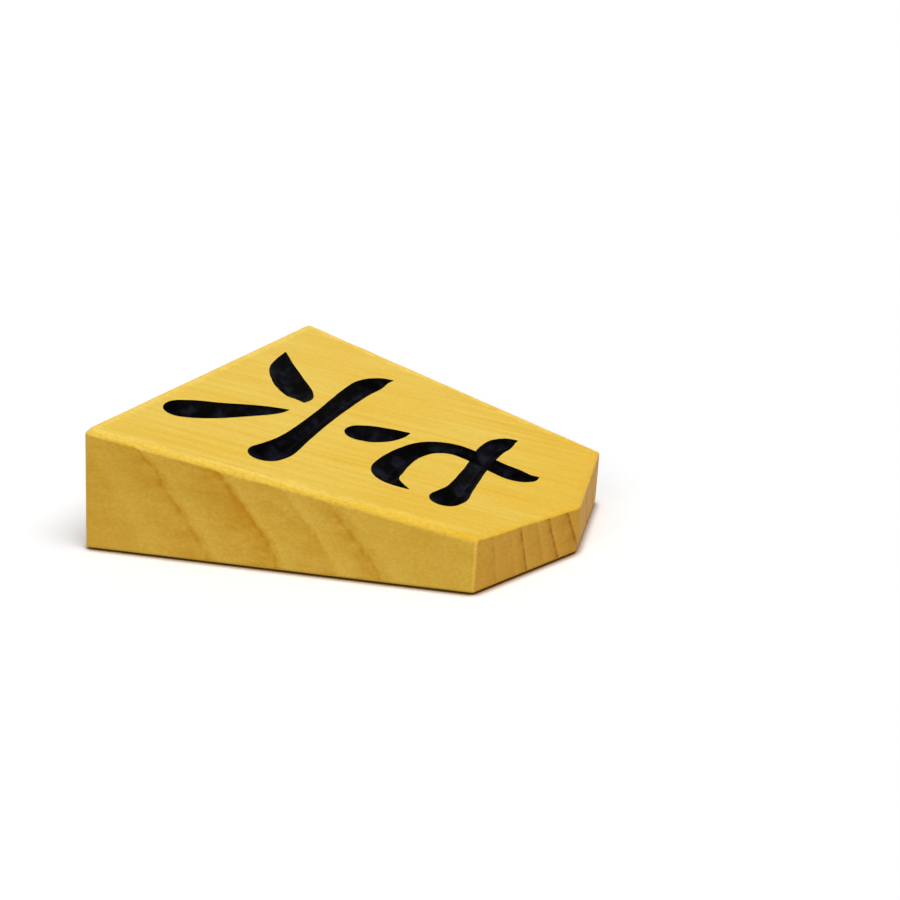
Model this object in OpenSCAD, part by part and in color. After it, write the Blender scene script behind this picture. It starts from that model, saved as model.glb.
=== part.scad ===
// A carved shogi piece: a five-sided boxwood wedge lying on its back,
// with two numerals cut into its face and lined with black lacquer.
// The head points along +Y and the carved face looks up.

/* [Wedge] */
// Length from the base to the tip of the head, along the middle plane
length = 31.5; // [26:0.1:40]
// Width across the base
base_width = 29.2; // [22:0.1:36]
// Width across the shoulders, where the sides turn in to the head
shoulder_width = 19.2; // [15:0.1:26]
// How far the tip of the head stands past the shoulders
head_rise = 3; // [1:0.1:6]
// Thickness at the base, square to the middle plane
base_thickness = 9; // [7:0.05:12]
// Thickness at the tip of the head
head_thickness = 3.5; // [2.8:0.05:6]

/* [Softened edges] */
// Bevel along the two long edges of the carved face
face_bevel = 0.5; // [0.1:0.05:0.8]
// Bevel along the head edges of the carved face
head_bevel = 0.25; // [0.05:0.05:0.5]
// Bevel along the base edge of the carved face
base_bevel = 0.3; // [0.05:0.05:0.6]
// Bevel round the edges of the back
back_bevel = 0.15; // [0.05:0.05:0.4]
// Bevel down the two corners of the base
base_corner_bevel = 0.5; // [0.1:0.05:0.8]
// Bevel down the two shoulders
shoulder_bevel = 0.2; // [0.05:0.05:0.6]
// Bevel down the tip of the head
tip_bevel = 0.1; // [0.05:0.05:0.8]

/* [Numerals] */
// Bare wood between the base edge and the lower numeral, a six
base_margin = 1.8; // [1:0.1:3]
// Bare wood on each side of the six, at its middle
six_side_margin = 3.5; // [2.5:0.1:6]
// Bare wood between the six and the upper numeral, a seven
numeral_gap = 1.2; // [0.8:0.1:3]
// Bare wood on each side of the seven, at its middle
seven_side_margin = 4; // [2.5:0.1:5]
// Bare wood between the seven and the tip of the head
head_margin = 4.3; // [3:0.1:6]
// Share of the carved height that the six takes; the seven has the rest
six_height_share = 0.62; // [0.55:0.01:0.68]

/* [Carving] */
// Width of the fullest stroke of the six
six_brush = 3.2; // [1.4:0.1:3.4]
// Width of the fullest stroke of the seven
seven_brush = 2.8; // [1.2:0.1:3.2]
// Steepness of the channel walls: depth gained for each millimetre in from the rim
wall_slope = 0.7; // [0.4:0.05:1]
// Thickness of the lacquer that lines the channels, measured straight down
lacquer_lining = 0.14; // [0.08:0.01:0.25]

/* [Hidden] */

// Stations cut between two control points of a stroke
stroke_steps = 4;
// Stations round the end of a stroke, where the brush stops at its full width
cap_steps = 5;
// Narrowest width of a channel, at the tip of a stroke
tip_width = 0.08;
// How far the channels are drawn past the face, so that they cut it cleanly
overrun = 0.1;
// Size of a block that reaches past the whole piece
reach = 2 * (length + base_width + base_thickness);

boxwood_yellow = [0.92, 0.76, 0.34];
lacquer_black = [0.05, 0.05, 0.07];

// The back and the face both lean by this angle from the middle plane
lean = atan((base_thickness - head_thickness) / 2 / length);
face_length = length / cos(lean);
face_normal = [0, sin(lean), cos(lean)];
back_normal = [0, sin(lean), -cos(lean)];
// Middle of the resting piece along Y, between its base and its head
middle_y = (length * cos(lean) - (base_thickness - head_thickness) / 2 * sin(lean)) / 2;

// Distance from the base to the shoulders
shoulder_length = length - head_rise;
// Corners of the outline, anticlockwise from the right end of the base
corners = [
    [base_width / 2, 0],
    [shoulder_width / 2, shoulder_length],
    [0, length],
    [-shoulder_width / 2, shoulder_length],
    [-base_width / 2, 0]
];
// Bevel down each corner, in the same order
corner_bevels = [base_corner_bevel, shoulder_bevel, tip_bevel, shoulder_bevel, base_corner_bevel];
// Bevel along the face edge of the side that follows each corner
side_bevels = [face_bevel, head_bevel, head_bevel, face_bevel, base_bevel];

// Layout of the numerals on the face: [width, height, distance from the base edge]
carved_height = face_length - base_margin - numeral_gap - head_margin;
six_height = carved_height * six_height_share;
six_box = [width_at(base_margin + six_height / 2) - 2 * six_side_margin, six_height, base_margin];
seven_height = carved_height - six_height;
seven_start = base_margin + six_height + numeral_gap;
seven_box = [width_at(seven_start + seven_height / 2) - 2 * seven_side_margin, seven_height, seven_start];

// Control points of each stroke in the order the brush moves:
// [across the numeral, up the numeral, width], as shares of its width, its height and its brush
seven_bar_shares = [
    [-0.50, 0.565, 0.03],
    [-0.45, 0.52, 0.42],
    [-0.365, 0.495, 0.66],
    [-0.24, 0.50, 0.63],
    [0.00, 0.57, 0.55],
    [0.24, 0.64, 0.62],
    [0.365, 0.662, 0.80],
    [0.43, 0.652, 0.84]
];
seven_hook_shares = [
    [-0.16, 1.00, 0.03],
    [-0.115, 0.95, 0.48],
    [-0.09, 0.85, 0.72],
    [-0.10, 0.68, 0.70],
    [-0.13, 0.46, 0.64],
    [-0.13, 0.26, 0.66],
    [-0.05, 0.11, 0.70],
    [0.09, 0.05, 0.70],
    [0.24, 0.05, 0.78],
    [0.37, 0.09, 0.80],
    [0.445, 0.19, 0.50],
    [0.475, 0.37, 0.03]
];
six_dot_shares = [
    [-0.10, 1.00, 0.03],
    [-0.06, 0.965, 0.46],
    [-0.015, 0.915, 0.78],
    [0.02, 0.865, 0.90],
    [0.035, 0.835, 0.84]
];
six_bar_shares = [
    [-0.50, 0.61, 0.03],
    [-0.455, 0.572, 0.42],
    [-0.38, 0.553, 0.66],
    [-0.26, 0.556, 0.62],
    [0.00, 0.595, 0.52],
    [0.26, 0.635, 0.60],
    [0.385, 0.642, 0.82],
    [0.445, 0.63, 0.86]
];
six_left_leg_shares = [
    [-0.04, 0.44, 0.03],
    [-0.075, 0.405, 0.50],
    [-0.11, 0.345, 0.76],
    [-0.18, 0.235, 0.80],
    [-0.28, 0.12, 0.62],
    [-0.42, 0.02, 0.03]
];
six_right_leg_shares = [
    [0.06, 0.435, 0.03],
    [0.105, 0.39, 0.38],
    [0.17, 0.31, 0.62],
    [0.26, 0.20, 0.86],
    [0.32, 0.11, 0.98],
    [0.345, 0.07, 0.94]
];

// Width of the face at a distance from the base edge, measured along the face
function width_at(distance) =
    base_width - (base_width - shoulder_width) * distance * cos(lean) / shoulder_length;

function unit(v) = v / norm(v);

// Half the thickness of the wedge at a distance from the base
function half_thickness(y) = base_thickness / 2 - y * tan(lean);

// Outward normal of the side that runs from corner i to the next
function side_normal(i) =
    let (run = corners[(i + 1) % len(corners)] - corners[i])
    unit([run.y, -run.x, 0]);

// Point of a smooth curve between b and c, where a and d are their neighbours
function curve_point(a, b, c, d, t) =
    b + ((c - a) * t + (2 * a - 5 * b + 4 * c - d) * t ^ 2 + (3 * b - 3 * c + d - a) * t ^ 3) / 2;

// Stations along a stroke's control points, in millimetres on the face: [x, y, half width]
function run_stations(shares, box, brush) =
    let (last = len(shares) - 1)
    [
        for (i = [0 : last], k = [0 : i < last ? stroke_steps - 1 : 0])
        let (
            p = curve_point(
                shares[max(i - 1, 0)],
                shares[i],
                shares[min(i + 1, last)],
                shares[min(i + 2, last)],
                k / stroke_steps
            )
        )
        [p.x * box.x, box.z + p.y * box.y, max(p.z * brush, tip_width) / 2]
    ];

// Stations that round off a stroke which stops at its full width; a pointed stroke gets none
function cap_stations(before, end) =
    let (
        ahead = unit([end.x - before.x, end.y - before.y]),
        steps = end.z > tip_width ? cap_steps : 0
    )
    [
        for (k = [1 : 1 : steps])
        let (angle = 90 * k / steps, forward = end.z * sin(angle))
        [end.x + ahead.x * forward, end.y + ahead.y * forward, max(end.z * cos(angle), tip_width / 2)]
    ];

// All the stations of a stroke, from the tip of the brush to its lift
function stations(shares, box, brush) =
    let (
        run = run_stations(shares, box, brush),
        last = len(run) - 1
    )
    concat(run, cap_stations(run[last - 1], run[last]));

// Removes everything beyond a plane through a point
module beyond(point, normal) {
    translate(point)
        rotate([0, acos(normal.z), atan2(normal.y, normal.x)])
            translate([-reach / 2, -reach / 2, 0])
                cube(reach);
}

// Flattens the edge where two planes meet, by the bevel's width on each plane
module bevel_cut(edge_point, normal_a, normal_b, bevel) {
    out = unit(normal_a + normal_b);
    depth = bevel * norm(normal_a - normal_b) / 2;
    beyond(edge_point - out * depth, out);
}

// Uncarved wedge, with its middle plane flat and its base at y = 0
module wedge() {
    difference() {
        linear_extrude(height = base_thickness, center = true)
            polygon(corners);
        beyond([0, 0, base_thickness / 2], face_normal);
        beyond([0, 0, -base_thickness / 2], back_normal);
        for (i = [0 : len(corners) - 1]) {
            corner = corners[i];
            top = half_thickness(corner.y);
            before = side_normal((i + len(corners) - 1) % len(corners));
            after = side_normal(i);
            bevel_cut([corner.x, corner.y, top], after, face_normal, side_bevels[i]);
            bevel_cut([corner.x, corner.y, -top], after, back_normal, back_bevel);
            bevel_cut([corner.x, corner.y, 0], before, after, corner_bevels[i]);
        }
    }
}

// Lays the wedge on its back, centred over the origin
module resting() {
    translate([0, -middle_y, base_thickness / 2 * cos(lean)])
        rotate([-lean, 0, 0])
            children();
}

// Carries shapes drawn on z = 0 to the carved face, with y = 0 on the base edge
module on_face() {
    translate([0, 0, base_thickness / 2])
        rotate([-lean, 0, 0])
            children();
}

// V-shaped channel of one stroke, open at the top
module channel(shares, box, brush) {
    line = stations(shares, box, brush);
    last = len(line) - 1;
    points = [
        for (i = [0 : last])
        let (
            here = line[i],
            ahead = line[min(i + 1, last)] - line[max(i - 1, 0)],
            left = unit([-ahead.y, ahead.x]),
            rim = here.z + overrun / wall_slope
        )
        each [
            [here.x + left.x * rim, here.y + left.y * rim, overrun],
            [here.x - left.x * rim, here.y - left.y * rim, overrun],
            [here.x, here.y, -here.z * wall_slope]
        ]
    ];
    walls = [
        for (i = [0 : last - 1], side = [0 : 2])
        let (a = 3 * i + side, b = 3 * i + (side + 1) % 3)
        each [[a, a + 3, b], [b, a + 3, b + 3]]
    ];
    ends = [[0, 1, 2], [3 * last + 2, 3 * last + 1, 3 * last]];
    polyhedron(points, concat(walls, ends));
}

module seven_channels() {
    channel(seven_bar_shares, seven_box, seven_brush);
    channel(seven_hook_shares, seven_box, seven_brush);
}

module six_channel(shares) {
    channel(shares, six_box, six_brush);
}

// Lacquer that lines the channels given to it, level with the face at their rims
module lining() {
    color(lacquer_black)
        resting() on_face()
            difference() {
                children();
                translate([0, 0, lacquer_lining])
                    children();
                translate([-reach / 2, -reach / 2, 0])
                    cube(reach);
            }
}

module boxwood_body() {
    color(boxwood_yellow)
        resting()
            difference() {
                wedge();
                on_face() {
                    seven_channels();
                    six_channel(six_dot_shares);
                    six_channel(six_bar_shares);
                    six_channel(six_left_leg_shares);
                    six_channel(six_right_leg_shares);
                }
            }
}

module lacquer_seven() {
    lining() seven_channels();
}

module lacquer_six_dot() {
    lining() six_channel(six_dot_shares);
}

module lacquer_six_bar() {
    lining() six_channel(six_bar_shares);
}

module lacquer_six_left_leg() {
    lining() six_channel(six_left_leg_shares);
}

module lacquer_six_right_leg() {
    lining() six_channel(six_right_leg_shares);
}

boxwood_body();
lacquer_seven();
lacquer_six_dot();
lacquer_six_bar();
lacquer_six_left_leg();
lacquer_six_right_leg();
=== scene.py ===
import math

import bmesh
import bpy
from mathutils import Matrix, Vector, noise
from mathutils.geometry import intersect_point_line


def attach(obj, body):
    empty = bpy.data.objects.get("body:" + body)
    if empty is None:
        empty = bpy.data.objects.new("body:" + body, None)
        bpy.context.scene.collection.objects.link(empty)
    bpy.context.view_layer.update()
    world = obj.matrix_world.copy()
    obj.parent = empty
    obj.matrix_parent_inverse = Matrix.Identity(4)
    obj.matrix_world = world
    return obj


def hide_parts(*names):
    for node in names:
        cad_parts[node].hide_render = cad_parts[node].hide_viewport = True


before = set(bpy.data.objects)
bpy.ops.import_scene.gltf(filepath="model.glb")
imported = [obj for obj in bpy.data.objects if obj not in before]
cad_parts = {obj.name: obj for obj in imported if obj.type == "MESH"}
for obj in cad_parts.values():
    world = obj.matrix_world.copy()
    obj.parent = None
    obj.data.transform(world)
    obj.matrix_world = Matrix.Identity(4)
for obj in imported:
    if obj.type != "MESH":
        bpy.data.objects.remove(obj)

mm = 0.001
scene = bpy.context.scene
scene.view_settings.view_transform = "Standard"
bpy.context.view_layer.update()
print("frame loaded with", len(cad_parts), "nodes")


# small helpers for trees and meshes

def addNode(tree, kind, **settings):
    node = tree.nodes.new(kind)
    for name, value in settings.items():
        setattr(node, name, value)
    return node


def setInputs(node, **values):
    for name, value in values.items():
        node.inputs[name].default_value = value
    return node


def link(tree, source, target):
    tree.links.new(source, target)
    return target


def mathNode(tree, operation, a, b=None, c=None, clamp=False):
    node = addNode(tree, "ShaderNodeMath", operation=operation, use_clamp=clamp)
    for socket, value in zip(node.inputs, (a, b, c)):
        if value is None:
            continue
        if isinstance(value, (int, float)):
            socket.default_value = value
        else:
            link(tree, value, socket)
    return node.outputs[0]


def vectorMath(tree, operation, a, b=None):
    node = addNode(tree, "ShaderNodeVectorMath", operation=operation)
    for socket, value in zip(node.inputs, (a, b)):
        if value is None:
            continue
        if isinstance(value, (tuple, Vector)):
            socket.default_value = value
        else:
            link(tree, value, socket)
    return node.outputs["Value"] if operation in ("DOT_PRODUCT", "LENGTH") else node.outputs["Vector"]


def blendColours(tree, amount, a, b, mode="MIX"):
    node = addNode(tree, "ShaderNodeMix", data_type="RGBA", blend_type=mode)
    for socket, value in zip((node.inputs[0], node.inputs[6], node.inputs[7]), (amount, a, b)):
        if isinstance(value, (int, float)):
            socket.default_value = value
        elif isinstance(value, tuple):
            socket.default_value = (*value, 1.0)
        else:
            link(tree, value, socket)
    return node.outputs[2]


def remap(tree, value, low, high, toLow=0.0, toHigh=1.0, smooth=True):
    node = addNode(tree, "ShaderNodeMapRange")
    node.interpolation_type = "SMOOTHSTEP" if smooth else "LINEAR"
    link(tree, value, node.inputs["Value"])
    limits = {"From Min": low, "From Max": high, "To Min": toLow, "To Max": toHigh}
    for name, number in limits.items():
        node.inputs[name].default_value = number
    return node.outputs["Result"]


def ramp(tree, value, stops, interpolation="LINEAR"):
    node = addNode(tree, "ShaderNodeValToRGB")
    node.color_ramp.interpolation = interpolation
    elements = node.color_ramp.elements
    elements.remove(elements[1])
    elements[0].position = stops[0][0]
    for at, level in stops[1:]:
        elements.new(at)
    for element, (at, level) in zip(elements, stops):
        element.color = (level, level, level, 1)
    link(tree, value, node.inputs["Fac"])
    return node.outputs["Color"]


def noiseAt(tree, vector, scale, detail=2.0, roughness=0.5, stretch=None):
    if stretch:
        vector = vectorMath(tree, "MULTIPLY", vector, stretch)
    node = addNode(tree, "ShaderNodeTexNoise")
    setInputs(node, Scale=scale, Detail=detail, Roughness=roughness)
    link(tree, vector, node.inputs["Vector"])
    return node.outputs["Fac"]


def newGroup(name, inputs, outputs):
    tree = bpy.data.node_groups.new(name, "ShaderNodeTree")
    for label, kind, value in inputs:
        socket = tree.interface.new_socket(label, in_out="INPUT", socket_type=kind)
        if value is not None:
            socket.default_value = value
    for label, kind in outputs:
        tree.interface.new_socket(label, in_out="OUTPUT", socket_type=kind)
    return tree, addNode(tree, "NodeGroupInput").outputs, addNode(tree, "NodeGroupOutput").inputs


def useGroup(tree, group, **values):
    node = addNode(tree, "ShaderNodeGroup", node_tree=group)
    for name, value in values.items():
        socket = node.inputs[name]
        if isinstance(value, bpy.types.NodeSocket):
            link(tree, value, socket)
        else:
            socket.default_value = value
    return node.outputs


def plainMesh(obj, name):
    # bakes the modifiers of an object and leaves a plain mesh at the origin
    bpy.context.view_layer.update()
    mesh = bpy.data.meshes.new_from_object(obj.evaluated_get(bpy.context.evaluated_depsgraph_get()))
    mesh.name = name
    old = obj.data
    bpy.data.objects.remove(obj)
    (bpy.data.curves if isinstance(old, bpy.types.Curve) else bpy.data.meshes).remove(old)
    made = bpy.data.objects.new(name, mesh)
    scene.collection.objects.link(made)
    return made


def smoothShade(obj, angle):
    obj.data.polygons.foreach_set("use_smooth", [True] * len(obj.data.polygons))
    obj.data.set_sharp_from_angle(angle=math.radians(angle))


# wedge of wood, sizes in millimetres

wedge = {
    "length": 31.5,
    "baseWidth": 29.2,
    "shoulderWidth": 19.2,
    "headRise": 3.0,
    "baseThickness": 9.0,
    "headThickness": 3.5,
    "longRound": 0.42,       # rounding of the two long edges of the face
    "headRound": 0.24,
    "baseRound": 0.35,
    "backRound": 0.25,
    "baseCornerRound": 0.55,
    "cornerWear": (0.7, 1.8, 0.42),   # flat worn on the near base corner: along, across and down
    "shoulderRound": 0.22,
    "tipRound": 0.25,
    "roundSteps": 6,
    "edgeCuts": 60,
    "longRipple": 0.07,      # how far a hand-rounded edge wanders
    "headRipple": 0.05,
    "baseRipple": 0.015,
    "rippleRun": 2.6,        # length of one wander along the edge
    "calmEnds": 0.1,         # share of an edge that stays straight at each end
    "edgeGrab": 1.3,         # what counts as the edge, in shares of its rounding
    "arrisPolishHighlightCore": 0.8,        # polish and painted highlight of the upright edges, in shares of their rounding
    "arrisPolishHighlightFade": 0.35,
    "sharpAngle": 30.0,
    "flatWeight": 80,        # how far the flats rule the shading of the roundings
}
halfTaper = (wedge["baseThickness"] - wedge["headThickness"]) / 2
lean = math.atan(halfTaper / wedge["length"])
shoulderLength = wedge["length"] - wedge["headRise"]
middleY = (wedge["length"] * math.cos(lean) - halfTaper * math.sin(lean)) / 2
# the wedge is drawn on its middle plane, then laid on its back
lying = Matrix.Translation((0, -middleY, wedge["baseThickness"] / 2 * math.cos(lean)))
lying = lying @ Matrix.Rotation(-lean, 4, "X")
# the carved face, with y = 0 on its base edge
facePlace = lying @ Matrix.Translation((0, 0, wedge["baseThickness"] / 2)) @ Matrix.Rotation(-lean, 4, "X")
faceNormal = facePlace.to_3x3() @ Vector((0, 0, 1))
faceLength = wedge["length"] / math.cos(lean)


def outlineCorners():
    halfBase, halfShoulder = wedge["baseWidth"] / 2, wedge["shoulderWidth"] / 2
    return [
        (halfBase, 0),
        (halfShoulder, shoulderLength),
        (0, wedge["length"]),
        (-halfShoulder, shoulderLength),
        (-halfBase, 0),
    ]


def halfThickness(y):
    return wedge["baseThickness"] / 2 - y * math.tan(lean)


def faceEdges():
    # rim of the carved face: start, end, outward normal of the side below, rounding and ripple
    corners = outlineCorners()
    rims = [lying @ Vector((x, y, halfThickness(y))) for x, y in corners]
    edges = []
    for i, kind in enumerate(("long", "head", "head", "long", "base")):
        j = (i + 1) % len(corners)
        run = Vector(corners[j]) - Vector(corners[i])
        outward = lying.to_3x3() @ Vector((run.y, -run.x, 0)).normalized()
        edges.append((rims[i], rims[j], outward, wedge[kind + "Round"], wedge[kind + "Ripple"]))
    return edges


def cornerRounds():
    rounds = [wedge[kind + "Round"] for kind in ("baseCorner", "shoulder", "tip")]
    return rounds + rounds[1::-1]


def roughWedge():
    corners = outlineCorners()
    faceRounds = [edge[3] for edge in faceEdges()]
    postRounds = cornerRounds()
    widest = max(faceRounds + postRounds)
    bm = bmesh.new()
    weight = bm.edges.layers.float.new("bevel_weight_edge")
    rings = []
    for side in (-1, 1):
        rings.append([bm.verts.new(lying @ Vector((x, y, side * halfThickness(y)))) for x, y in corners])
    back, face = rings
    bm.faces.new(face)
    bm.faces.new(back[::-1])
    for i in range(len(corners)):
        j = (i + 1) % len(corners)
        bm.faces.new((back[i], back[j], face[j], face[i]))
        bm.edges.get((face[i], face[j]))[weight] = faceRounds[i] / widest
        bm.edges.get((back[i], back[j]))[weight] = wedge["backRound"] / widest
        bm.edges.get((back[i], face[i]))[weight] = postRounds[i] / widest
    bmesh.ops.scale(bm, vec=(mm, mm, mm), verts=bm.verts)
    mesh = bpy.data.meshes.new("roughWedge")
    bm.to_mesh(mesh)
    bm.free()
    obj = bpy.data.objects.new("roughWedge", mesh)
    scene.collection.objects.link(obj)
    rounding = obj.modifiers.new("rounding", "BEVEL")
    rounding.limit_method = "WEIGHT"
    rounding.width = widest * mm
    rounding.segments = wedge["roundSteps"]
    rounding.use_clamp_overlap = False
    return plainMesh(obj, "roundedWedge")


def rippleEdges(obj):
    # each edge wanders a little within its face and its side, so both stay flat
    bm = bmesh.new()
    bm.from_mesh(obj.data)
    for seed, (start, end, outward, roundSize, ripple) in enumerate(faceEdges()):
        length = (end - start).length
        along = (end - start) / length
        intoFace = faceNormal.cross(along)
        downSide = along.cross(outward)

        def depths(v):
            offset = v.co / mm - start
            return -offset.dot(faceNormal), -offset.dot(outward), offset.dot(along)

        def onEdge(v):
            return sum(depths(v)[:2]) < roundSize * wedge["edgeGrab"]

        runs = [e for e in bm.edges if all(map(onEdge, e.verts)) and e.calc_length() > length / 2 * mm]
        bmesh.ops.subdivide_edges(bm, edges=runs, cuts=wedge["edgeCuts"], use_grid_fill=True)
        for v in filter(onEdge, bm.verts):
            depthFace, depthSide, run = depths(v)
            fromEnd = min(run, length - run) / length
            sway = min(max(fromEnd / wedge["calmEnds"] - 0.5, 0), 1) * ripple
            seat = run / wedge["rippleRun"]
            onFace = noise.noise((seat, seed * 3.7, 0.4)) * sway * max(1 - depthFace / roundSize, 0)
            onSide = noise.noise((seat, seed * 8.1, 5.2)) * sway * max(1 - depthSide / roundSize, 0)
            v.co += (intoFace * onFace + downSide * onSide) * mm
    bm.to_mesh(obj.data)
    bm.free()


def wearCorner(obj):
    corner, end = faceEdges()[0][:2]
    ways = ((end - corner).normalized(), Vector((-1, 0, 0)), lying.to_3x3() @ Vector((0, 0, -1)))
    a, b, c = (corner + way * reach for way, reach in zip(ways, wedge["cornerWear"]))
    flat = (b - a).cross(c - a).normalized()
    flat = flat if flat.dot(corner - a) > 0 else -flat
    bm = bmesh.new()
    bm.from_mesh(obj.data)
    whole = bm.verts[:] + bm.edges[:] + bm.faces[:]
    bmesh.ops.bisect_plane(bm, geom=whole, plane_co=a * mm, plane_no=flat, clear_outer=True)
    bmesh.ops.holes_fill(bm, edges=[e for e in bm.edges if e.is_boundary])
    bm.to_mesh(obj.data)
    bm.free()


def markArrisPolishHighlight(obj):
    # 1 along the middle of each rounded upright edge, 0 on the flats; it places polish and a painted
    # highlight
    edges = []
    for (x, y), roundSize in zip(outlineCorners(), cornerRounds()):
        foot, top = (lying @ Vector((x, y, side * halfThickness(y))) for side in (-1, 1))
        if x:  # the tip keeps its edge
            edges.append((foot, top, roundSize))
    marks = obj.data.attributes.new("arrisPolishHighlight", "FLOAT", "POINT")
    for v, mark in zip(obj.data.vertices, marks.data):
        place = v.co / mm
        for start, end, roundSize in edges:
            gap = (place - intersect_point_line(place, start, end)[0]).length
            level = (wedge["arrisPolishHighlightCore"] - gap / roundSize) / wedge["arrisPolishHighlightFade"]
            mark.value = max(mark.value, min(level, 1))


# brush strokes of the two numerals, in the order the brush moves
# each point is (across, up, width) in shares of the numeral's width, its height and its brush

seven = {
    "brush": 2.8,
    "sideMargin": 4.0,
    "strokes": {
        "bar": (
            (-0.50, 0.565, 0.03), (-0.45, 0.52, 0.42), (-0.365, 0.495, 0.66), (-0.24, 0.50, 0.63),
            (0.00, 0.57, 0.55), (0.24, 0.64, 0.62), (0.365, 0.662, 0.80), (0.43, 0.652, 0.84),
        ),
        "hook": (
            (-0.16, 1.00, 0.03), (-0.115, 0.95, 0.48), (-0.09, 0.85, 0.72), (-0.10, 0.68, 0.70),
            (-0.13, 0.46, 0.64), (-0.13, 0.26, 0.66), (-0.05, 0.11, 0.70), (0.09, 0.05, 0.70),
            (0.24, 0.05, 0.78), (0.37, 0.09, 0.80), (0.445, 0.19, 0.50), (0.475, 0.37, 0.03),
        ),
    },
}
six = {
    "brush": 3.2,
    "sideMargin": 3.5,
    "strokes": {
        "dot": (
            (-0.10, 1.00, 0.03), (-0.06, 0.965, 0.46), (-0.015, 0.915, 0.78), (0.02, 0.865, 0.90),
            (0.035, 0.835, 0.84),
        ),
        "bar": (
            (-0.50, 0.61, 0.03), (-0.455, 0.572, 0.42), (-0.38, 0.553, 0.66), (-0.26, 0.556, 0.62),
            (0.00, 0.595, 0.52), (0.26, 0.635, 0.60), (0.385, 0.642, 0.82), (0.445, 0.63, 0.86),
        ),
        "leftLeg": (
            (-0.04, 0.44, 0.03), (-0.075, 0.405, 0.50), (-0.11, 0.345, 0.76), (-0.18, 0.235, 0.80),
            (-0.28, 0.12, 0.62), (-0.42, 0.02, 0.03),
        ),
        "rightLeg": (
            (0.06, 0.435, 0.03), (0.105, 0.39, 0.38), (0.17, 0.31, 0.62), (0.26, 0.20, 0.86),
            (0.32, 0.11, 0.98), (0.345, 0.07, 0.94),
        ),
    },
}
layout = {
    "baseMargin": 1.8,
    "numeralGap": 1.2,
    "headMargin": 4.3,
    "sixShare": 0.62,        # share of the carved height that the six takes
}
carving = {
    "wallSlope": 0.7,        # depth gained for each millimetre in from the rim
    "overrun": 0.1,          # how far the cutters stand above the face
    "lining": 0.14,          # lacquer left in the valley, for a channel 1 mm from rim to middle
    "lip": 0.03,             # flat lacquer at the rim, as a share of the half width
    "valleyRound": 0.18,     # how softly the lacquer turns at the bottom
    "valleySteps": 9,
    "spanSteps": 10,         # stations between two points of a stroke
    "capSteps": 12,          # stations round the end of a stroke
    "tipHalf": 0.04,
    "waver": 0.025,          # how far the knife wanders along a rim
    "waverRun": 1.1,
    "sharpAngle": 32.0,
}


def widthAt(distance):
    taper = wedge["baseWidth"] - wedge["shoulderWidth"]
    return wedge["baseWidth"] - taper * distance * math.cos(lean) / shoulderLength


carvedHeight = faceLength - layout["baseMargin"] - layout["numeralGap"] - layout["headMargin"]
six["height"] = carvedHeight * layout["sixShare"]
six["start"] = layout["baseMargin"]
seven["height"] = carvedHeight - six["height"]
seven["start"] = six["start"] + six["height"] + layout["numeralGap"]
for numeral in (six, seven):
    numeral["width"] = widthAt(numeral["start"] + numeral["height"] / 2) - 2 * numeral["sideMargin"]


def curvePoint(a, b, c, d, t):
    return b + ((c - a) * t + (2 * a - 5 * b + 4 * c - d) * t ** 2 + (3 * b - 3 * c + d - a) * t ** 3) / 2


def brushRun(numeral, points, seed):
    # stations along one stroke: place on the face and half width, in millimetres
    shares = [Vector(p) for p in points]
    last = len(shares) - 1
    run = []
    for i in range(last + 1):
        around = [shares[min(max(i + k, 0), last)] for k in (-1, 0, 1, 2)]
        for step in range(carving["spanSteps"] if i < last else 1):
            p = curvePoint(*around, step / carving["spanSteps"])
            half = max(p.z * numeral["brush"] / 2, carving["tipHalf"])
            run.append(Vector((p.x * numeral["width"], numeral["start"] + p.y * numeral["height"], half)))
    for p in run:
        p.z += noise.noise((p.x / carving["waverRun"], p.y / carving["waverRun"], seed)) * carving["waver"]
        p.z = max(p.z, carving["tipHalf"])
    end, ahead = run[-1].copy(), (run[-1] - run[-2]).to_2d().normalized()
    if end.z > 2 * carving["tipHalf"]:  # a stroke that stops at full width is rounded off
        for step in range(1, carving["capSteps"] + 1):
            angle = math.pi / 2 * step / carving["capSteps"]
            place = end.to_2d() + ahead * end.z * math.sin(angle)
            run.append(Vector((*place, max(end.z * math.cos(angle), carving["tipHalf"]))))
    return run


def strokeCurve(name, numeral, strokeName):
    run = brushRun(numeral, numeral["strokes"][strokeName], len(strokeName) * 2.3)
    curve = bpy.data.curves.new(name, "CURVE")
    curve.dimensions = "3D"
    spline = curve.splines.new("POLY")
    spline.points.add(len(run) - 1)
    for point, station in zip(spline.points, run):
        point.co = (station.x, station.y, 0, 1)
        point.radius = station.z
    obj = bpy.data.objects.new(name, curve)
    scene.collection.objects.link(obj)
    return obj


def profileCurve(name, points):
    # closed outline for a half width of 1, with y pointing into the wood
    curve = bpy.data.curves.new(name, "CURVE")
    curve.dimensions = "3D"
    spline = curve.splines.new("POLY")
    spline.points.add(len(points) - 1)
    spline.use_cyclic_u = True
    for point, (x, y) in zip(spline.points, points):
        point.co = (x, y, 0, 1)
    obj = bpy.data.objects.new(name, curve)
    scene.collection.objects.link(obj)
    return obj


def hollowOutline():
    # the open space above the lacquer: a V whose bottom is rounded
    rim, soft = 1 - carving["lip"], carving["valleyRound"]
    depth = carving["wallSlope"] - carving["lining"]
    steps = carving["valleySteps"]
    outline = [(rim, -carving["overrun"])]
    for step in range(-steps, steps + 1):
        x = -rim * step / steps
        drop = (math.hypot(rim, soft) - math.hypot(x, soft)) / (math.hypot(rim, soft) - soft)
        outline.append((x, depth * drop))
    outline.append((-rim, -carving["overrun"]))
    return outline


def channelOutline(overrun):
    wide = 1 + overrun / carving["wallSlope"]
    return [(wide, -overrun), (0, carving["wallSlope"]), (-wide, -overrun)]


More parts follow.
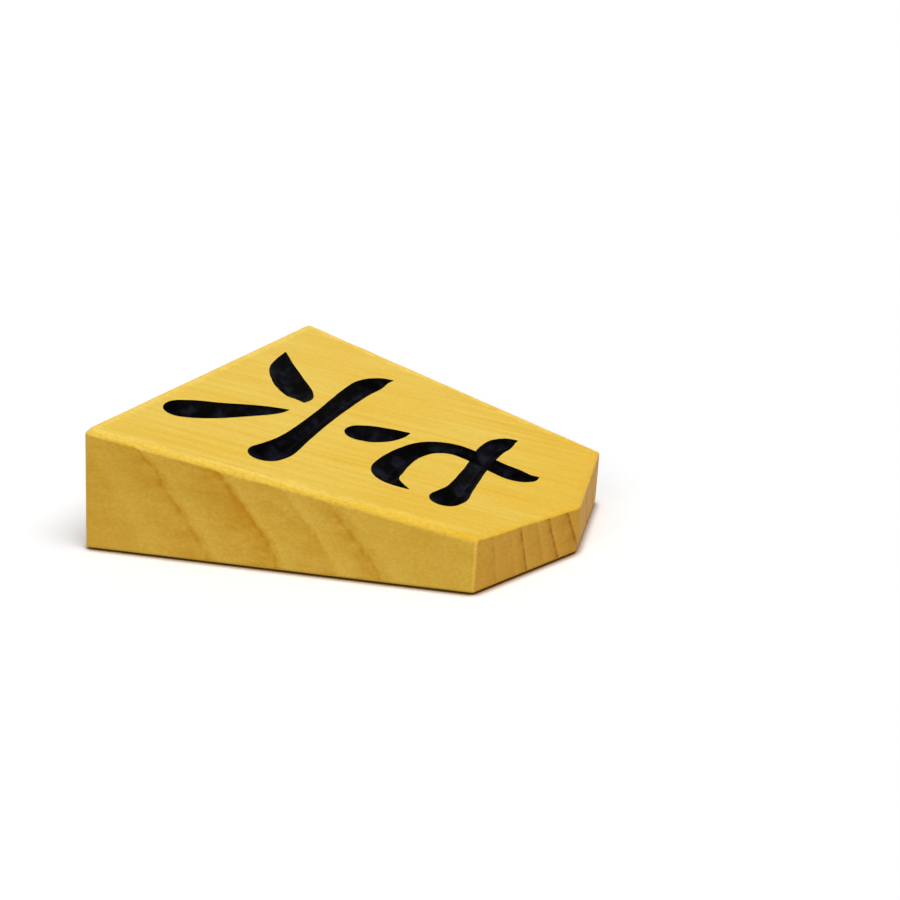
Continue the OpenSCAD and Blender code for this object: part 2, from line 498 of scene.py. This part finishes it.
def brushSweepTree():
    # carries a profile along a brush path, as wide as the brush, and lays it on the face
    tree = bpy.data.node_groups.new("brushSweep", "GeometryNodeTree")
    inputs = (
        ("Path", "NodeSocketGeometry"),
        ("Profile", "NodeSocketObject"),
        ("Face origin", "NodeSocketVector"),
        ("Face turn", "NodeSocketRotation"),
        ("Scale", "NodeSocketFloat"),
        ("Material", "NodeSocketMaterial"),
    )
    for label, kind in inputs:
        tree.interface.new_socket(label, in_out="INPUT", socket_type=kind)
    tree.interface.new_socket("Geometry", in_out="OUTPUT", socket_type="NodeSocketGeometry")
    given = addNode(tree, "NodeGroupInput").outputs
    upright = addNode(tree, "GeometryNodeSetCurveNormal", mode="Z_UP")
    profile = addNode(tree, "GeometryNodeObjectInfo")
    halfWidth = addNode(tree, "GeometryNodeInputRadius")
    sweep = addNode(tree, "GeometryNodeCurveToMesh")
    place = addNode(tree, "GeometryNodeTransform")
    realize = addNode(tree, "GeometryNodeRealizeInstances")
    paint = addNode(tree, "GeometryNodeSetMaterial")
    out = addNode(tree, "NodeGroupOutput")
    setInputs(sweep, **{"Fill Caps": True})
    link(tree, given["Path"], upright.inputs["Curve"])
    link(tree, given["Profile"], profile.inputs["Object"])
    link(tree, upright.outputs["Curve"], sweep.inputs["Curve"])
    link(tree, profile.outputs["Geometry"], sweep.inputs["Profile Curve"])
    link(tree, halfWidth.outputs["Radius"], sweep.inputs["Scale"])
    link(tree, sweep.outputs["Mesh"], place.inputs["Geometry"])
    link(tree, given["Face origin"], place.inputs["Translation"])
    link(tree, given["Face turn"], place.inputs["Rotation"])
    link(tree, given["Scale"], place.inputs["Scale"])
    link(tree, place.outputs["Geometry"], realize.inputs["Geometry"])
    link(tree, realize.outputs["Geometry"], paint.inputs["Geometry"])
    link(tree, given["Material"], paint.inputs["Material"])
    link(tree, paint.outputs["Geometry"], out.inputs["Geometry"])
    return tree


def sweepStroke(tree, numeral, strokeName, profile, material):
    path = strokeCurve("path_" + strokeName, numeral, strokeName)
    values = {
        "Profile": profile,
        "Face origin": tuple(facePlace.translation * mm),
        "Face turn": tuple(facePlace.to_euler()),
        "Scale": mm,
        "Material": material,
    }
    modifier = path.modifiers.new("sweep", "NODES")
    modifier.node_group = tree
    for item in tree.interface.items_tree:
        if item.in_out == "INPUT" and item.name in values:
            modifier[item.identifier] = values[item.name]
    return plainMesh(path, "swept_" + strokeName)


def combine(obj, others, operation):
    for other in others:
        step = obj.modifiers.new(operation.lower(), "BOOLEAN")
        step.operation = operation
        step.solver = "MANIFOLD"
        step.object = other
    return obj


# boxwood, measured in millimetres of the piece's own coordinates

boxwood = {
    "pale": (0.875, 0.615, 0.094),
    "honey": (0.865, 0.555, 0.053),
    "flame": (0.84, 0.47, 0.022),        # streaks of the face
    "rib": (0.955, 0.91, 0.68),          # fine ribs of the face
    "amber": (0.67, 0.315, 0.014),       # lines of the sides
    # painted shade: the steep sides take a deeper, warmer tint than the face
    "sideShadeTint": (1.0, 0.925, 0.885),
    "endTint": (0.915, 0.762, 0.715),
    "endLine": (0.41, 0.14, 0.006),
    "wornHighlight": (1.10, 1.12, 1.38),          # polish of the edges that the hand touches, and a painted highlight
    "speck": (0.22, 0.10, 0.015),
    "grainTint": (1.0, 1.3, 3.0),        # how much of the fine grain each colour takes
    # tone, from clouds and streaks, and where it turns from pale to honey
    "cloudShare": 0.6,
    "streakShare": 0.7,
    "faceCloud": 0.3,                    # clouds that only the face has
    "faceTurn": (0.60, 1.0),
    "sideTurn": (0.45, 0.85),
    "sideHoney": 0.5,
    "headTone": 0.007,                   # the face deepens towards the head
    "baseTone": 0.25,                    # and the sides towards the base
    "baseReach": (2.0, -14.0),
    "sideTilt": (0.42, 0.12),            # where a surface is steep enough to be a side
    "endTilt": (0.6, 0.85),              # and turned enough to show its end grain
    "fibreTurn": -12.0,                  # degrees from the long axis
    # growth rings: how they climb along, down and round the piece
    "ringAlong": 0.11,
    "ringDown": -0.616,
    "ringBow": 0.0485,
    "ringTwist": 0.0076,
    "ringDip": -0.0032,
    "faceSway": 0.35,
    "sideSway": 0.05,
    "tremble": 0.05,
    "spreadFrom": 10.8,                  # beyond this the years lie close, so they are spread
    "spreadBy": 4.0,
    "rings": (                           # place across the piece and strength of each year's dark line
        (-17.0, 0.4), (-15.2, 0.6), (-13.5, 0.4), (-12.3, 0.7), (-10.2, 0.8), (-8.9, 0.4),
        (-7.0, 0.7), (-5.1, 0.5), (-3.7, 0.8), (-1.9, 0.4), (-0.3, 0.25), (1.37, 0.85),
        (3.38, 0.95), (4.65, 0.4), (6.26, 0.8), (7.31, 0.35), (9.07, 0.45), (10.4, 0.12),
        (11.40, 0.85), (11.60, 0.6), (11.87, 1.0), (12.22, 0.92), (12.54, 0.42), (13.3, 0.4),
    ),
    # darkness through a year: the line, and the shade that follows it
    "lineShape": ((0.0, 0.7), (0.03, 1.0), (0.09, 0.4), (0.2, 0.06), (0.4, 0.0), (0.95, 0.0), (1.0, 0.7)),
    "shadeShape": ((0.0, 0.75), (0.06, 0.85), (0.3, 0.75), (0.65, 0.35), (0.88, 0.05), (1.0, 0.75)),
    "faceYear": (0.5, 0.7),              # strength of the shade and of the line
    "endYear": (0.5, 0.95),
    "sideYear": (0.95, 0.75),
    "endStrength": 1.05,
    "streakGrowth": 0.02,                # the streaks of the face grow towards the head
    "streakStrength": 1.15,
    "ribTurn": (0.4, 0.7),
    "ribStrength": 0.8,
    "patchFade": 0.55,                   # how far the lines of the sides fade in places
    # fine grain: on the face, and what the sides, the rim and the streaks add
    "grainFace": 0.20,
    "grainSide": 0.18,
    "grainRim": 0.3,
    "grainStreak": 0.16,
    "rimInside": (1.2, 0.2),             # how far the rim reaches onto the face and down the sides
    "rimBelow": (0.6, 0.2),
    # polish and painted highlight of the rim
    "wornHighlightReach": 1.1,                    # how far it comes onto the face
    "wornHighlightFade": 0.4,
    "wornHighlightBelow": (0.32, 0.08),
    "wornHighlightInside": (0.1, 0.45),
    "rimRagged": 1.8,
    "headRim": (8.0, 13.0),              # towards the head it gives way to a deeper gold
    "goldReach": (0.7, 0.1),
    "goldStrength": 0.4,
    "roughness": 0.46,
    "streakRoughness": 0.16,
    "endRoughness": 0.12,
    "wornRoughness": -0.08,
    "specular": 0.12,
    "bumpStrength": 0.15,
    "bumpDepth": 0.02 * mm,
}
woodNoise = {                            # scale, detail, roughness and stretch
    "wander": (0.26, 1.5, 0.45, (1, 0.35, 1)),
    "tremble": (1.3, 2.0, 0.5),
    "streak": (1.7, 3.0, 0.55, (1, 0.02, 0.4)),
    "fine": (6.0, 2.0, 0.6, (1, 0.03, 0.4)),
    "grain": (5.5, 3.0, 0.7, (1, 0.6, 1)),
    "cloud": (0.2, 3.0, 0.55, (1, 0.5, 1)),
    "fade": (0.5, 2.0, 0.5, (1, 0.25, 1)),
    "patch": (1.1, 3.0, 0.6, (1, 0.5, 1)),
    "ragged": (0.9, 3.0, 0.6),
}
lacquer = {
    "colour": (0.0012, 0.0010, 0.0010),
    "paintedSheen": (0.011, 0.012, 0.020),      # painted mottled sheen where the lacquer lies deep
    "paintedSheenDepth": (0.03, 0.4),
    "paintedSheenTurn": (0.42, 0.75),
    "cloudNoise": (0.9, 3.0, 0.55),
    "brushNoise": (2.2, 2.0, 0.5),
    "roughness": 0.26,
    "cloudRoughness": 0.16,
    "specular": 0.005,
    "bumpStrength": 0.4,
    "bumpDepth": 0.05 * mm,
}


def millimetres(tree):
    coords = addNode(tree, "ShaderNodeTexCoord")
    return vectorMath(tree, "MULTIPLY", coords.outputs["Object"], (1 / mm,) * 3), coords.outputs["Normal"]


def aroundZero(tree, value):
    return mathNode(tree, "SUBTRACT", value, 0.5)


def product(tree, first, *others):
    for other in others:
        first = mathNode(tree, "MULTIPLY", first, other)
    return first


def growthRingGroup():
    tree, given, out = newGroup("growthRings", [
        ("Point", "NodeSocketVector", None),
        ("Sway", "NodeSocketFloat", boxwood["faceSway"]),
    ], [("Line", "NodeSocketFloat"), ("Band", "NodeSocketFloat"), ("Rib", "NodeSocketFloat")])
    parts = addNode(tree, "ShaderNodeSeparateXYZ")
    link(tree, given["Point"], parts.inputs[0])
    x, y, z = parts.outputs
    tilt = mathNode(tree, "MULTIPLY_ADD", x, boxwood["ringBow"], boxwood["ringDown"])
    tilt = mathNode(tree, "MULTIPLY_ADD", y, boxwood["ringTwist"], tilt)
    tilt = mathNode(tree, "MULTIPLY_ADD", z, boxwood["ringDip"], tilt)
    reach = mathNode(tree, "MULTIPLY_ADD", z, tilt, x)
    reach = mathNode(tree, "MULTIPLY_ADD", y, boxwood["ringAlong"], reach)
    wander = aroundZero(tree, noiseAt(tree, given["Point"], *woodNoise["wander"]))
    reach = mathNode(tree, "MULTIPLY_ADD", wander, given["Sway"], reach)
    tremble = aroundZero(tree, noiseAt(tree, given["Point"], *woodNoise["tremble"]))
    reach = mathNode(tree, "MULTIPLY_ADD", tremble, boxwood["tremble"], reach)
    beyond = mathNode(tree, "MAXIMUM", mathNode(tree, "SUBTRACT", reach, boxwood["spreadFrom"]), 0.0)
    spread = mathNode(tree, "MULTIPLY_ADD", beyond, boxwood["spreadBy"], reach)
    places = [at + boxwood["spreadBy"] * max(at - boxwood["spreadFrom"], 0) for at, level in boxwood["rings"]]
    first, last = places[0], places[-1]
    count = len(places) - 1
    # place across the piece to a count of years, then the part of the year
    years = [((at - first) / (last - first), i / count) for i, at in enumerate(places)]
    levels = [(i / count, level) for i, (at, level) in enumerate(boxwood["rings"])]
    span = remap(tree, spread, first, last, smooth=False)
    share = ramp(tree, span, years)
    level = ramp(tree, share, levels)
    part = mathNode(tree, "FRACT", product(tree, share, count))
    thin = ramp(tree, part, boxwood["lineShape"])
    soft = ramp(tree, part, boxwood["shadeShape"])
    link(tree, product(tree, thin, product(tree, level, level)), out["Line"])
    link(tree, product(tree, soft, level), out["Band"])
    rib = addNode(tree, "ShaderNodeTexNoise", noise_dimensions="1D")
    setInputs(rib, Scale=2.6, Detail=4.0, Roughness=0.62)
    link(tree, reach, rib.inputs["W"])
    link(tree, rib.outputs["Fac"], out["Rib"])
    return tree


def fibreGroup():
    tree, given, out = newGroup("woodFibres", [
        ("Point", "NodeSocketVector", None),
    ], [(label, "NodeSocketFloat") for label in ("Streak", "Grain", "Cloud", "Fade", "Patch", "Speck")])
    noises = {name: noiseAt(tree, given["Point"], *woodNoise[name])
              for name in ("streak", "fine", "grain", "cloud", "fade", "patch")}
    both = mathNode(tree, "MULTIPLY_ADD", noises["fine"], 0.35, product(tree, noises["streak"], 0.65))
    link(tree, both, out["Streak"])
    link(tree, noises["grain"], out["Grain"])
    link(tree, noises["cloud"], out["Cloud"])
    link(tree, remap(tree, noises["fade"], 0.3, 0.65), out["Fade"])
    link(tree, remap(tree, noises["patch"], 0.35, 0.62), out["Patch"])
    cells = addNode(tree, "ShaderNodeTexVoronoi")
    setInputs(cells, Scale=0.36)
    link(tree, vectorMath(tree, "MULTIPLY", given["Point"], (1, 0.6, 1)), cells.inputs["Vector"])
    link(tree, remap(tree, cells.outputs["Distance"], 0.03, 0.014), out["Speck"])
    return tree


def rimGroup():
    # how deep a point lies below the face and inside the nearest side
    tree, given, out = newGroup("rims", [
        ("Point", "NodeSocketVector", None),
    ], [("Below", "NodeSocketFloat"), ("Inside", "NodeSocketFloat")])

    def depth(origin, outward):
        reach = vectorMath(tree, "DOT_PRODUCT", given["Point"], -outward)
        return mathNode(tree, "ADD", reach, origin.dot(outward))

    link(tree, depth(facePlace.translation, faceNormal), out["Below"])
    sides = [depth(start, outward) for start, end, outward, roundSize, ripple in faceEdges()]
    nearest = sides[0]
    for side in sides[1:]:
        nearest = mathNode(tree, "MINIMUM", nearest, side)
    link(tree, nearest, out["Inside"])
    return tree


def boxwoodMaterial():
    material = bpy.data.materials.new("boxwood")
    material.use_nodes = True
    tree = material.node_tree
    shader = tree.nodes["Principled BSDF"]
    place, normal = millimetres(tree)
    turned = addNode(tree, "ShaderNodeMapping", vector_type="POINT")
    turned.inputs["Rotation"].default_value = (lean, 0, math.radians(boxwood["fibreTurn"]))
    link(tree, place, turned.inputs["Vector"])
    fibres = useGroup(tree, fibreGroup(), Point=turned.outputs["Vector"])
    rims = useGroup(tree, rimGroup(), Point=place)
    towardsHead = vectorMath(tree, "DOT_PRODUCT", place, (0, 1, 0))
    # end grain shows on the head and base faces, where the fibres come out
    upright = mathNode(tree, "ABSOLUTE", vectorMath(tree, "DOT_PRODUCT", normal, (0, 0, 1)))
    along = mathNode(tree, "ABSOLUTE", vectorMath(tree, "DOT_PRODUCT", normal, (0, 1, 0)))
    onSide = remap(tree, upright, *boxwood["sideTilt"])
    onEnd = product(tree, remap(tree, along, *boxwood["endTilt"]), onSide)
    onFace = mathNode(tree, "SUBTRACT", 1.0, onSide)
    sway = remap(tree, onSide, 0.0, 1.0, boxwood["faceSway"], boxwood["sideSway"], smooth=False)
    rings = useGroup(tree, growthRingGroup(), Point=place, Sway=sway)

    def yearMark(line, strengths):
        shade, dark = strengths
        return mathNode(tree, "MULTIPLY_ADD", line, dark, product(tree, rings["Band"], shade))

    # ground colours
    tone = product(tree, fibres["Cloud"], boxwood["cloudShare"])
    tone = mathNode(tree, "MULTIPLY_ADD", fibres["Streak"], boxwood["streakShare"], tone)
    sides = product(tree, remap(tree, tone, *boxwood["sideTurn"]), boxwood["sideHoney"])
    sides = blendColours(tree, sides, boxwood["pale"], boxwood["honey"])
    tone = mathNode(tree, "MULTIPLY_ADD", towardsHead, boxwood["headTone"], tone)
    tone = mathNode(tree, "MULTIPLY_ADD", fibres["Cloud"], boxwood["faceCloud"], tone)
    face = blendColours(tree, remap(tree, tone, *boxwood["faceTurn"]), boxwood["pale"], boxwood["honey"])

    # a year shows as faint warm streaks on the face
    ribs = product(tree, remap(tree, rings["Rib"], *boxwood["ribTurn"]), boxwood["ribStrength"])
    face = blendColours(tree, ribs, face, blendColours(tree, 1.0, face, boxwood["rib"], "MULTIPLY"))
    growth = mathNode(tree, "MULTIPLY_ADD", towardsHead, boxwood["streakGrowth"], boxwood["streakStrength"])
    streaks = product(tree, yearMark(rings["Line"], boxwood["faceYear"]), fibres["Fade"], growth)
    face = blendColours(tree, streaks, face, boxwood["flame"])

    # and as a line with a soft shade on the sides and ends
    # painted shade: the steep sides, and the ends after them, are tinted deeper than the face
    sides = blendColours(tree, 1.0, sides, boxwood["sideShadeTint"], "MULTIPLY")
    fading = mathNode(tree, "MULTIPLY_ADD", fibres["Patch"], boxwood["patchFade"], 1 - boxwood["patchFade"])
    year = product(tree, yearMark(rings["Line"], boxwood["endYear"]), fading)
    year = mathNode(tree, "MULTIPLY", year, boxwood["endStrength"], clamp=True)
    ends = blendColours(tree, 1.0, sides, boxwood["endTint"], "MULTIPLY")
    ends = blendColours(tree, year, ends, boxwood["endLine"])
    deepen = product(tree, remap(tree, towardsHead, *boxwood["baseReach"]), boxwood["baseTone"])
    sides = blendColours(tree, deepen, sides, boxwood["amber"])
    fineLine = product(tree, rings["Line"], rings["Line"])
    year = product(tree, yearMark(fineLine, boxwood["sideYear"]), fading)
    sides = blendColours(tree, year, sides, boxwood["amber"])
    sides = blendColours(tree, fibres["Speck"], sides, boxwood["speck"])
    sides = blendColours(tree, onEnd, sides, ends)
    colour = blendColours(tree, onSide, face, sides)

    # fine grain, coarser where the fibres are cut along the rim of the face
    atRim = remap(tree, rims["Inside"], *boxwood["rimInside"])
    atRim = product(tree, atRim, remap(tree, rims["Below"], *boxwood["rimBelow"]))
    depthOfGrain = mathNode(tree, "MULTIPLY_ADD", onSide, boxwood["grainSide"], boxwood["grainFace"])
    depthOfGrain = mathNode(tree, "MULTIPLY_ADD", atRim, boxwood["grainRim"], depthOfGrain)
    grain = product(tree, aroundZero(tree, fibres["Grain"]), depthOfGrain)
    grain = mathNode(tree, "MULTIPLY_ADD", aroundZero(tree, fibres["Streak"]), -boxwood["grainStreak"], grain)
    grain = vectorMath(tree, "MULTIPLY", grain, boxwood["grainTint"])
    colour = vectorMath(tree, "MULTIPLY", colour, vectorMath(tree, "ADD", grain, (1.0, 1.0, 1.0)))

    # ragged polish and painted highlight along the rim of the face and down the upright edges, but gold round
    # the head
    ragged = aroundZero(tree, noiseAt(tree, place, *woodNoise["ragged"]))
    reach = mathNode(tree, "MULTIPLY_ADD", ragged, -boxwood["rimRagged"], rims["Inside"])
    headward = remap(tree, towardsHead, *boxwood["headRim"])
    gold = product(tree, remap(tree, reach, *boxwood["goldReach"]), headward, onFace, boxwood["goldStrength"])
    colour = blendColours(tree, gold, colour, boxwood["flame"])
    polishHighlight = remap(tree, reach, boxwood["wornHighlightReach"], boxwood["wornHighlightReach"] * boxwood["wornHighlightFade"])
    polishHighlight = product(tree, polishHighlight, remap(tree, rims["Below"], *boxwood["wornHighlightBelow"]))
    polishHighlight = product(tree, polishHighlight, remap(tree, rims["Inside"], *boxwood["wornHighlightInside"]))
    polishHighlight = product(tree, polishHighlight, mathNode(tree, "SUBTRACT", 1.0, headward))
    arrisPolishHighlight = addNode(tree, "ShaderNodeAttribute", attribute_name="arrisPolishHighlight").outputs["Fac"]
    polishHighlight = mathNode(tree, "MAXIMUM", polishHighlight, arrisPolishHighlight)
    colour = blendColours(tree, polishHighlight, colour, blendColours(tree, 1.0, colour, boxwood["wornHighlight"], "MULTIPLY"))
    link(tree, colour, shader.inputs["Base Color"])

    smoothest = boxwood["roughness"] - boxwood["streakRoughness"] / 2
    rough = mathNode(tree, "MULTIPLY_ADD", fibres["Streak"], boxwood["streakRoughness"], smoothest)
    rough = mathNode(tree, "MULTIPLY_ADD", onEnd, boxwood["endRoughness"], rough)
    rough = mathNode(tree, "MULTIPLY_ADD", polishHighlight, boxwood["wornRoughness"], rough)
    link(tree, rough, shader.inputs["Roughness"])
    shader.inputs["Specular IOR Level"].default_value = boxwood["specular"]
    addBump(tree, shader, fibres["Streak"], boxwood)
    return material


def addBump(tree, shader, height, finish):
    bump = addNode(tree, "ShaderNodeBump")
    setInputs(bump, Strength=finish["bumpStrength"], Distance=finish["bumpDepth"])
    link(tree, height, bump.inputs["Height"])
    link(tree, bump.outputs["Normal"], shader.inputs["Normal"])


def lacquerMaterial():
    material = bpy.data.materials.new("black_lacquer")
    material.use_nodes = True
    tree = material.node_tree
    shader = tree.nodes["Principled BSDF"]
    place = millimetres(tree)[0]
    rims = useGroup(tree, bpy.data.node_groups["rims"], Point=place)
    # painted sheen: blue-grey patches in the colour stand in for reflections, while the specular stays low
    cloud = noiseAt(tree, place, *lacquer["cloudNoise"])
    deep = remap(tree, rims["Below"], *lacquer["paintedSheenDepth"])
    paintedSheen = product(tree, remap(tree, cloud, *lacquer["paintedSheenTurn"]), deep)
    link(tree, blendColours(tree, paintedSheen, lacquer["colour"], lacquer["paintedSheen"]), shader.inputs["Base Color"])
    smoothest = lacquer["roughness"] - lacquer["cloudRoughness"] / 2
    rough = mathNode(tree, "MULTIPLY_ADD", cloud, lacquer["cloudRoughness"], smoothest)
    link(tree, rough, shader.inputs["Roughness"])
    shader.inputs["Specular IOR Level"].default_value = lacquer["specular"]
    addBump(tree, shader, noiseAt(tree, place, *lacquer["brushNoise"]), lacquer)
    return material


# camera, at the photograph's view

camera = {
    "azimuth": 119.11,
    "elevation": 19.62,
    "roll": -1.09,
    "eye": (119.84, 72.49, 54.92),
    "lens": 82.37,
    "sensor": 36.0,
}


def makeCamera():
    data = bpy.data.cameras.new("camera")
    data.sensor_width = camera["sensor"]
    data.lens = camera["lens"]
    data.clip_start = 1 * mm
    obj = bpy.data.objects.new("camera", data)
    scene.collection.objects.link(obj)
    a, e, r = (math.radians(camera[k]) for k in ("azimuth", "elevation", "roll"))
    back = Vector((math.sin(a) * math.cos(e), -math.cos(a) * math.cos(e), math.sin(e)))
    right = Vector((math.cos(a), math.sin(a), 0))
    turn = Matrix((right, back.cross(right), back)).transposed() @ Matrix.Rotation(r, 3, "Z")
    obj.matrix_world = Matrix.Translation(Vector(camera["eye"]) * mm) @ turn.to_4x4()
    scene.camera = obj


makeCamera()
print("camera set")

wood = boxwoodMaterial()
black = lacquerMaterial()
print("materials made")

strokesOf = {
    "lacquer_seven": (seven, ("bar", "hook")),
    "lacquer_six_dot": (six, ("dot",)),
    "lacquer_six_bar": (six, ("bar",)),
    "lacquer_six_left_leg": (six, ("leftLeg",)),
    "lacquer_six_right_leg": (six, ("rightLeg",)),
}
brushSweep = brushSweepTree()
flushChannel = profileCurve("flushChannel", channelOutline(0))
openChannel = profileCurve("openChannel", channelOutline(carving["overrun"]))
hollow = profileCurve("hollow", hollowOutline())
helpers = [flushChannel, openChannel, hollow]
lacquerPieces = {}
knifeCuts = []
for node, (numeral, strokeNames) in strokesOf.items():
    filled = [sweepStroke(brushSweep, numeral, name, flushChannel, black) for name in strokeNames]
    emptied = [sweepStroke(brushSweep, numeral, name, hollow, black) for name in strokeNames]
    knifeCuts += [sweepStroke(brushSweep, numeral, name, openChannel, wood) for name in strokeNames]
    piece = combine(filled[0], filled[1:], "UNION")
    piece = plainMesh(combine(piece, emptied, "DIFFERENCE"), node + "_film")
    smoothShade(piece, carving["sharpAngle"])
    lacquerPieces[node] = piece
    helpers += filled[1:] + emptied
print("lacquer poured:", {node: len(piece.data.polygons) for node, piece in lacquerPieces.items()})

body = roughWedge()
rippleEdges(body)
wearCorner(body)
body = plainMesh(combine(body, knifeCuts, "DIFFERENCE"), "wood_block")
body.data.materials.clear()
body.data.materials.append(wood)
smoothShade(body, wedge["sharpAngle"])
evenNormals = body.modifiers.new("evenNormals", "WEIGHTED_NORMAL")
evenNormals.keep_sharp = True
evenNormals.weight = wedge["flatWeight"]
body = plainMesh(body, "wood_block")
markArrisPolishHighlight(body)
for helper in helpers + knifeCuts:
    bpy.data.objects.remove(helper)
print("wood carved:", len(body.data.polygons), "faces")

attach(body, "root")
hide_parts("boxwood_body")
for node, piece in lacquerPieces.items():
    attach(piece, "root")
    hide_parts(node)
print("pieces seated")


# floor, light and white background

studio = {
    "floorSize": 3.0,
    "floorDrop": 0.1 * mm,
    "floorBounce": 0.45,                 # floor colour as the object sees it
    "floorSeen": (0.95, 0.955, 0.965),   # floor colour as the camera and reflections see it
    "floorLift": 0.16,                   # white that is added to what they see, except close to the foot
    "footTint": (0.32, 0.15, 0.025),     # painted shade, warmed by the light that comes off the wood, where the piece meets the floor
    "footReach": 0.8 * mm,
    "footSamples": 6,
    "footFade": (0.35, 0.9),
    "footBounce": 0.1,
    "skyLevel": 0.27,
    "lamps": {                           # strength, angle across and the side it shines from
        "softKey": (1.75, 36.0, (0.12, 0.42, 0.90)),
        "frontFill": (0.85, 50.0, (0.86, 0.12, 0.50)),
    },
}


def seenRays(tree):
    # 1 where the camera, a reflection or a see-through piece looks
    rays = addNode(tree, "ShaderNodeLightPath").outputs
    seen = mathNode(tree, "MAXIMUM", rays["Is Camera Ray"], rays["Is Glossy Ray"])
    return mathNode(tree, "MAXIMUM", seen, rays["Is Transmission Ray"])


def makeFloor():
    half = studio["floorSize"] / 2
    mesh = bpy.data.meshes.new("floor")
    ring = [(x * half, y * half, -studio["floorDrop"]) for x, y in ((-1, -1), (1, -1), (1, 1), (-1, 1))]
    mesh.from_pydata(ring, [], [(0, 1, 2, 3)])
    obj = bpy.data.objects.new("floor", mesh)
    scene.collection.objects.link(obj)
    material = bpy.data.materials.new("floor")
    material.use_nodes = True
    tree = material.node_tree
    tree.nodes.remove(tree.nodes["Principled BSDF"])
    seen = seenRays(tree)
    paper = addNode(tree, "ShaderNodeBsdfDiffuse")
    # painted contact shadow: near the foot the floor turns warm dark brown, loses its white lift and bounces
    # less light
    contactShade = addNode(tree, "ShaderNodeAmbientOcclusion", samples=studio["footSamples"])
    setInputs(contactShade, Distance=studio["footReach"])
    clear = remap(tree, contactShade.outputs["AO"], *studio["footFade"])
    bounce = product(tree, remap(tree, clear, 0.0, 1.0, studio["footBounce"], 1.0), studio["floorBounce"])
    shown = blendColours(tree, clear, studio["footTint"], studio["floorSeen"])
    link(tree, blendColours(tree, seen, bounce, shown), paper.inputs["Color"])
    glow = addNode(tree, "ShaderNodeEmission")
    link(tree, product(tree, clear, studio["floorLift"], seen), glow.inputs["Strength"])
    total = addNode(tree, "ShaderNodeAddShader")
    link(tree, paper.outputs[0], total.inputs[0])
    link(tree, glow.outputs[0], total.inputs[1])
    link(tree, total.outputs[0], tree.nodes["Material Output"].inputs["Surface"])
    mesh.materials.append(material)


def makeLight():
    world = bpy.data.worlds.new("studio")
    world.use_nodes = True
    scene.world = world
    tree = world.node_tree
    backdrop = tree.nodes["Background"]
    backdrop.inputs["Color"].default_value = (1, 1, 1, 1)
    level = remap(tree, seenRays(tree), 0.0, 1.0, studio["skyLevel"], 1.0, smooth=False)
    link(tree, level, backdrop.inputs["Strength"])
    for name, (strength, angle, shinesFrom) in studio["lamps"].items():
        sun = bpy.data.lights.new(name, "SUN")
        sun.energy = strength
        sun.angle = math.radians(angle)
        lamp = bpy.data.objects.new(name, sun)
        lamp.rotation_mode = "QUATERNION"
        lamp.rotation_quaternion = Vector(shinesFrom).to_track_quat("Z", "Y")
        scene.collection.objects.link(lamp)


makeFloor()
makeLight()
print("floor and light set")
